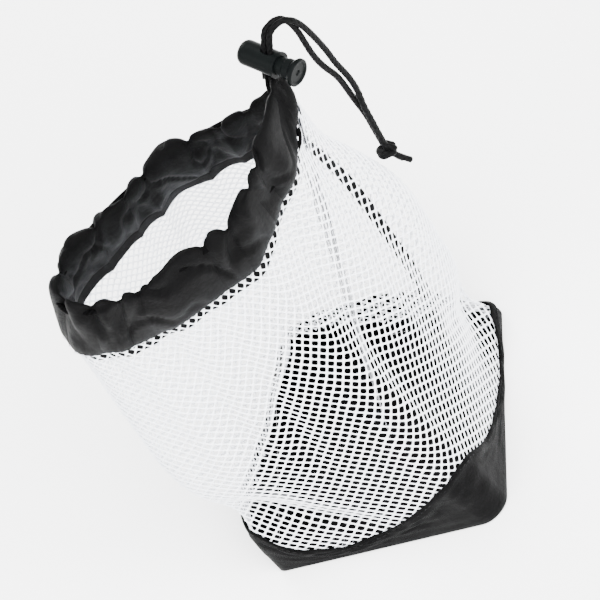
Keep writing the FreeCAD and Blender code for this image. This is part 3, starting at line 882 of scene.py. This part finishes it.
def net_tree(material):
    """Turns a cloth surface into a knitted net of rounded openings."""
    lengths = ("Half step round", "Half step up", "Opening", "Thread", "Knot", "Start")
    tree, board, given = new_tree("knitted net", lengths, ("Columns", "Rows"))
    step_u, step_v = given.out("Half step round"), given.out("Half step up")
    opening, thread = given.out("Opening"), given.out("Thread")

    # One cell: an opening's edge and the diamond of web round it.
    ring = board.make("GeometryNodeMeshCircle", {"fill_type": "NONE"}, {"Vertices": 16, "Radius": 1.0})
    walls = board.make("GeometryNodeExtrudeMesh", {"mode": "EDGES"}, {"Mesh": ring, "Offset Scale": 0.0})
    place = board.split(board.make("GeometryNodeInputPosition"))
    x, y = place.out("X"), place.out("Y")
    size_x = board.maths("ABSOLUTE", x)
    size_y = board.maths("ABSOLUTE", y)
    reach = 1.0 / (size_x + size_y)
    raised = board.maths("POWER", size_x, HOLE_POWER) + board.maths("POWER", size_y, HOLE_POWER)
    round_reach = board.maths("POWER", raised, -1 / HOLE_POWER)
    corner = board.maths("POWER", board.maths("ABSOLUTE", (size_x - size_y) * reach), KNOT_POWER)
    lift = thread + given.out("Knot") * corner
    outer = board.vector(x * reach * step_u, y * reach * step_v, lift)
    inner = board.vector(x * round_reach * opening * step_u, y * round_reach * opening * step_v, 0.0)
    chosen = board.make("GeometryNodeSwitch", {"input_type": "VECTOR"}, {
        "Switch": walls.out("Top"), "False": inner, "True": outer,
    })
    cell = board.make("GeometryNodeSetPosition", {}, {"Geometry": walls.out("Mesh"), "Position": chosen})
    under = board.make("GeometryNodeTransform", {}, {"Geometry": cell, "Scale": (1.0, 1.0, -1.0)})
    under = board.make("GeometryNodeFlipFaces", {}, {"Mesh": under})
    both = board.make("GeometryNodeJoinGeometry")
    tree.links.new(cell.socket, both.node.inputs[0])
    tree.links.new(under.socket, both.node.inputs[0])

    # Cell middles on the flat cloth: every second place of a fine lattice.
    index = board.make("GeometryNodeInputIndex")
    columns = given.out("Columns")
    column = index % columns
    row = board.maths("FLOOR", (index + 0.5) / columns)
    middle = board.vector(given.out("Start") + column * step_u, row * step_v, 0.0)
    total = columns * given.out("Rows")
    points = board.make("GeometryNodePoints", {}, {"Count": total, "Position": middle})
    odd = (column + row) % 2.0
    spot = board.make("GeometryNodeInputPosition")
    named = "GeometryNodeInputNamedAttribute"
    cloth_map = board.make(named, {"data_type": "FLOAT_VECTOR"}, {"Name": "cloth"})
    inside = board.make(named, {"data_type": "FLOAT"}, {"Name": "inside"})
    kept = board.make("GeometryNodeSampleUVSurface", {"data_type": "FLOAT"}, {
        "Mesh": given, "Source UV Map": cloth_map, "Sample UV": spot, "Value": inside,
    })
    outside = board.make("FunctionNodeCompare", {"operation": "LESS_THAN"}, {0: kept, 1: 0.5})
    off = board.make("FunctionNodeBooleanMath", {"operation": "OR"}, {0: outside, 1: odd > 0.5})
    points = board.make("GeometryNodeDeleteGeometry", {"domain": "POINT"},
                        {"Geometry": points, "Selection": off})

    # Lay the flat net on the cloth surface.
    laid = board.make("GeometryNodeInstanceOnPoints", {}, {"Points": points, "Instance": both})
    laid = board.make("GeometryNodeRealizeInstances", {}, {"Geometry": laid})
    laid = board.make("GeometryNodeMergeByDistance", {}, {"Geometry": laid, "Distance": NET_JOIN * MM})
    flat = board.split(board.make("GeometryNodeInputPosition"))
    on_map = board.vector(flat.out("X") % (CLOTH_AROUND * MM), flat.out("Y"), 0.0)
    samples = []
    for source in ("GeometryNodeInputPosition", "GeometryNodeInputNormal"):
        value = board.make(source)
        samples.append(board.make("GeometryNodeSampleUVSurface", {"data_type": "FLOAT_VECTOR"}, {
            "Mesh": given, "Source UV Map": cloth_map, "Sample UV": on_map, "Value": value,
        }))
    height = board.vectors("SCALE", samples[1], Scale=flat.out("Z"))
    final = board.make("ShaderNodeVectorMath", {"operation": "ADD"}, {0: samples[0], 1: height})
    laid = board.make("GeometryNodeSetPosition", {}, {"Geometry": laid, "Position": final})
    laid = board.make("GeometryNodeMergeByDistance", {}, {"Geometry": laid, "Distance": NET_JOIN * MM})
    laid = board.make("GeometryNodeSetShadeSmooth", {}, {"Geometry": laid})
    done = board.make("GeometryNodeSetMaterial", {}, {"Geometry": laid, "Material": material})
    board.make("NodeGroupOutput", {}, {0: done})
    return tree


def with_tree(piece, tree, **values):
    """Runs a node tree on the piece and keeps its result as the piece's mesh."""
    change = piece.modifiers.new("made", "NODES")
    change.node_group = tree
    for item in tree.interface.items_tree:
        key = item.name.lower().replace(" ", "_")
        if item.in_out == "INPUT" and key in values:
            change[item.identifier] = values[key]
    return baked(piece)


def base_seam_height(share):
    places = np.array([place for place, _ in BASE_SEAM])
    heights = np.array([height for _, height in BASE_SEAM])
    places = np.concatenate([places - 1, places, places + 1])
    heights = np.tile(heights, 3)
    total = 0
    spread = np.linspace(-0.012, 0.012, 9)
    for shift in spread:
        total = total + np.interp(np.asarray(share) % 1.0 + shift, places, heights)
    return total / len(spread)


def seam_overlap(share):
    """How far the net hangs below the seam, inside the black wall."""
    return 5.5 + 13.0 * toward(share, 0.09, 0.075)


def cloth_sheet(shares, low, high, levels):
    """The net's surface up to the collar's foot and a little over it, with its flat heights."""
    heights = between(low, high, levels)
    rows = wall_rows(shares, heights)
    flat_rows = [height / high * CLOTH_TALL for height in heights]
    above = collar_rows(shares, [0.035, 0.05, 0.065, 0.08, 0.1], NET_OVER_COLLAR)
    above[..., 2] += NET_OVER_COLLAR_RISE
    passed = np.linalg.norm(above - rows[-1], axis=-1)
    flat_rows += [flat_rows[-1] + distance for distance in passed]
    return np.concatenate([rows, above]), np.array(flat_rows)


def net_surface(name):
    """The cloth that the net is laid on, marked where the net is to be kept."""
    count = 352
    shares = np.linspace(0, 1, count, endpoint=False)
    low = np.maximum(base_seam_height(shares) - seam_overlap(shares) - NET_SPARE, LOWEST_CLOTH)
    high = seam_height(shares)
    rows, flats = cloth_sheet(shares, low, high, 52)

    def flat(v, u):
        around = u * CLOTH_AROUND / count * MM
        return (around, flats[v][u % count] * MM)

    piece = grid_object(name, rows, True, flat)
    trim_low = (base_seam_height(shares) - seam_overlap(shares)) / seam_height(shares) * CLOTH_TALL
    trim_high = CLOTH_TALL + NET_TOP_EDGE
    keep = np.minimum(flats - trim_low, trim_high - flats)
    inside = piece.data.attributes.new("inside", "FLOAT", "POINT")
    inside.data.foreach_set("value", np.clip(keep + 0.5, 0, 1).astype(np.float32).ravel())
    return piece


def make_net(material):
    tree = net_tree(material)
    step = CLOTH_AROUND / NET_STEPS
    for name, start, columns in (("net_far_side", 0, 78), ("net_near_side", 78, 76)):
        piece = net_surface(name)
        with_tree(
            piece, tree, half_step_round=step * MM, half_step_up=NET_STEP_UP * MM, opening=0.66,
            thread=0.42 * MM, knot=0.28 * MM, start=start * step * MM, columns=columns, rows=76,
        )
        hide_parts("mesh_body")
        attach(piece, "bag")


# ---------------------------------------------------------- collar and base

def make_collar(material):
    count = 700
    shares = np.linspace(0, 1, count, endpoint=False)
    turns = np.linspace(0, 1, 45)[:-1]
    rows = collar_rows(shares, turns)

    def flat(v, u):
        return (u / count * 0.47, v / 44 * 0.085)

    collar = grid_object("gathered_collar", rows, True, flat, closed_rows=True)
    thickened(collar, COLLAR_THICKNESS, -1.0)
    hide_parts("collar_casing")
    dress(collar, material, "bag")


def make_base_wall(material):
    count = 528
    shares = np.linspace(0, 1, count, endpoint=False)
    top = base_seam_height(shares)
    levels = 13
    heights = between(0.5, top, levels)
    rows = wall_rows(shares, heights, WALL_OUTSIDE)
    rng = np.random.default_rng(3)
    for level in range(levels):
        up = level / (levels - 1)
        wave = sum(
            0.35 * np.sin(2 * np.pi * turn * shares + phase + 2 * up)
            for turn, phase in zip(rng.integers(6, 26, 5), rng.uniform(0, 6, 5))
        )
        hem = 0.5 * np.exp(-(((1 - up) * (top - 0.5) - 3.2) / 1.4) ** 2)
        normal = plan_normal(rows[level][:, :2])
        rows[level][:, :2] += normal * (wave * up * 0.6 + hem)[:, None]

    def flat(v, u):
        return (u * CLOTH_AROUND / count * MM, v / (levels - 1) * 0.04)

    wall = grid_object("base_wall_cloth", rows, True, flat)
    thickened(wall, WALL_THICKNESS, 1.0)
    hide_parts("base_wall")
    dress(wall, material, "bag")


def make_base_panel(material):
    count = 264
    shares = np.linspace(0, 1, count, endpoint=False)
    ring = wall_rows(shares, [np.full(count, 0.5)], 0.6)[0]
    rows = []
    for share in np.linspace(1.0, 0.0, 30):
        row = ring.copy()
        row[:, :2] *= share
        row[:, 2] = 0.7 + 0.25 * np.sin(row[:, 0] / 13) * np.cos(row[:, 1] / 11)
        rows.append(row)
    rows = np.array(rows)

    def flat(v, u):
        point = rows[v][u % count]
        return (point[0] * MM + 0.06, point[1] * MM + 0.06)

    panel = grid_object("bottom_panel", rows, True, flat)
    weld = panel.modifiers.new("middle", "WELD")
    weld.merge_threshold = 0.00001
    baked(panel)
    thickened(panel, PANEL_THICKNESS)
    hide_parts("base_panel")
    dress(panel, material, "bag")


def make_tapes(material):
    count = 440
    shares = np.linspace(0, 1, count, endpoint=False)
    top = seam_height(shares)
    heights = [top - 6.2 + 8.0 * step for step in np.linspace(0, 1, 6)]
    rows = wall_rows(shares, heights, NET_INSIDE)
    band = grid_object("collar_allowance", rows, True, lambda v, u: (u * MM, v * 1.4 * MM))
    thickened(band, TAPE_THICKNESS)
    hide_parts("collar_seam_tape")
    dress(band, material, "bag")
    half = TAPE_WIDTH / 2 / CLOTH_AROUND
    columns = np.linspace(SIDE_SEAM_SHARE - half, SIDE_SEAM_SHARE + half, 9)
    wide = np.linspace(0.0, 2 * SIDE_SEAM_SHARE, 81)
    low = base_seam_height(wide) - 2
    high = seam_height(wide) - 6.4
    heights = between(low, high, 60)
    sheet = wall_rows(wide, heights, NET_INSIDE)
    rows = np.array([
        np.column_stack([np.interp(columns, wide, row[:, axis]) for axis in range(3)]) for row in sheet
    ])
    strip = grid_object("side_binding", rows, False, lambda v, u: (u * 0.75 * MM, v * 2.6 * MM))
    thickened(strip, TAPE_THICKNESS)
    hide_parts("side_seam_tape")
    dress(strip, material, "bag")


# ------------------------------------------------------------------ stitches

def stitch_tree(material):
    """Lays one twisted stitch after another along a line."""
    tree, board, given = new_tree("running stitches", ("Pitch", "Length", "Thickness"))
    line = board.make("GeometryNodeMeshToCurve", {}, {"Mesh": given})
    spots = board.make("GeometryNodeResampleCurve", {"mode": "LENGTH"},
                       {"Curve": line, "Length": given.out("Pitch")})
    points = board.make("GeometryNodeCurveToPoints", {"mode": "EVALUATED"}, {"Curve": spots})
    bar = board.make("GeometryNodeMeshUVSphere", {}, {"Segments": 6, "Rings": 5, "Radius": 0.5})
    size = board.vector(given.out("Length"), given.out("Thickness"), given.out("Thickness"))
    bar = board.make("GeometryNodeTransform", {}, {"Geometry": bar, "Scale": size})
    turn = board.make("FunctionNodeAlignRotationToVector", {"axis": "X"}, {"Vector": points.out("Tangent")})
    laid = board.make("GeometryNodeInstanceOnPoints", {}, {
        "Points": points.out("Points"), "Instance": bar, "Rotation": turn,
    })
    laid = board.make("GeometryNodeRealizeInstances", {}, {"Geometry": laid})
    laid = board.make("GeometryNodeSetShadeSmooth", {}, {"Geometry": laid})
    done = board.make("GeometryNodeSetMaterial", {}, {"Geometry": laid, "Material": material})
    board.make("NodeGroupOutput", {}, {0: done})
    return tree


def line_object(name, points, edges):
    mesh = bpy.data.meshes.new(name)
    mesh.from_pydata((np.asarray(points) * MM).tolist(), edges, [])
    return linked(name, mesh)


def chained(points, closed):
    """The edges that join points in their order."""
    count = len(points)
    return [(index, (index + 1) % count) for index in range(count if closed else count - 1)]


def side_seam_line():
    """The middle of the side seam, just outside the net."""
    beside = SIDE_SEAM_SHARE + np.array([-0.001, 0.0, 0.001])
    heights = np.linspace(40, 176, 90)
    return np.array([wall_rows(beside, [np.full(3, height)], 0.5)[0][1] for height in heights])


def bar_lines():
    """Where the two dense bars lie, beside the cord's exit."""
    button, cord = lock_axes()
    return [
        nose_tip() + button * (side * BAR_FROM_CORD) - cord * step
        for side in (1, -1) for step in (0.4, 4.4)
    ]


def make_stitches(black, white):
    black_tree = stitch_tree(black)
    white_tree = stitch_tree(white)
    shares = np.linspace(0, 1, 880, endpoint=False)
    low = wall_rows(shares, [base_seam_height(shares) - 1.6], WALL_OUTSIDE + WALL_THICKNESS + 0.15)[0]
    foot = collar_rows(shares, [0.06])[0]
    side = side_seam_line()
    stitch, bar = (2.2, 0.5), (0.7, 1.3)
    rows = (
        ("base_seam_thread", "base_stitches", low, chained(low, True), 3.2, stitch),
        ("collar_foot_thread", "collar_stitches", foot, chained(foot, True), 3.2, stitch),
        ("side_seam_thread", "side_seam_stitches", side, chained(side, False), 3.0, stitch),
        ("exit_bars", "exit_bartacks", bar_lines(), [(0, 1), (2, 3)], 0.6, bar),
    )
    for name, node, points, edges, pitch, (length, thickness) in rows:
        on_net = node == "side_seam_stitches"
        piece = line_object(name, points, edges)
        with_tree(piece, white_tree if on_net else black_tree,
                  pitch=pitch * MM, length=length * MM, thickness=thickness * MM)
        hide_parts(node)
        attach(piece, "bag")


# --------------------------------------------- CAD pieces shown as they are

def finish_cad_pieces(plastic, steel, cord):
    for node, material in (
        ("lock_barrel", plastic), ("lock_plunger", plastic), ("lock_spring", steel),
        ("drawstring_loop", cord),
    ):
        mesh = nodes[node].data
        mesh.materials.clear()
        mesh.materials.append(material)


# --------------------------------------------------------------------- stage

def make_stage():
    size = 6.0
    mesh = bpy.data.meshes.new("floor")
    corners = [(-size, -size, 0), (size, -size, 0), (size, size, 0), (-size, size, 0)]
    mesh.from_pydata(corners, [], [(0, 1, 2, 3)])
    mesh.materials.append(floor_finish())
    floor = linked("floor", mesh)
    floor.location.z = -0.0002
    world = bpy.data.worlds.new("studio air")
    world.use_nodes = True
    background = world.node_tree.nodes["Background"].inputs
    background["Color"].default_value = (1, 1, 1, 1)
    background["Strength"].default_value = 2.0
    bpy.context.scene.world = world
    lights = (
        ("key light", (-0.75, -0.95, 1.9), 2.0, 270.0),
        ("left light", (-1.3, 1.0, 1.5), 1.4, 60.0),
        ("back light", (1.6, 0.9, 1.4), 1.2, 70.0),
    )
    for name, place, width, power in lights:
        data = bpy.data.lights.new(name, "AREA")
        data.size = width
        data.energy = power
        lamp = linked(name, data)
        lamp.location = place
        aim = Vector((0, 0, 0.12)) - Vector(place)
        lamp.rotation_euler = aim.to_track_quat("-Z", "Y").to_euler()


add_camera()
braid = cord_finish()
make_cords(braid)
nylon = nylon_finish()
tape = tape_finish()
make_stage()
make_net(net_finish())
make_collar(nylon)
make_base_wall(nylon)
make_base_panel(nylon)
make_tapes(tape)
make_stitches(
    thread_finish("black thread", (0.0006, 0.0006, 0.0007, 1), (0.002, 0.002, 0.0022, 1)),
    thread_finish("white thread", (0.78, 0.80, 0.85, 1), (0.92, 0.93, 0.95, 1)),
)
finish_cad_pieces(plastic_finish(), steel_finish(), plain_cord_finish())
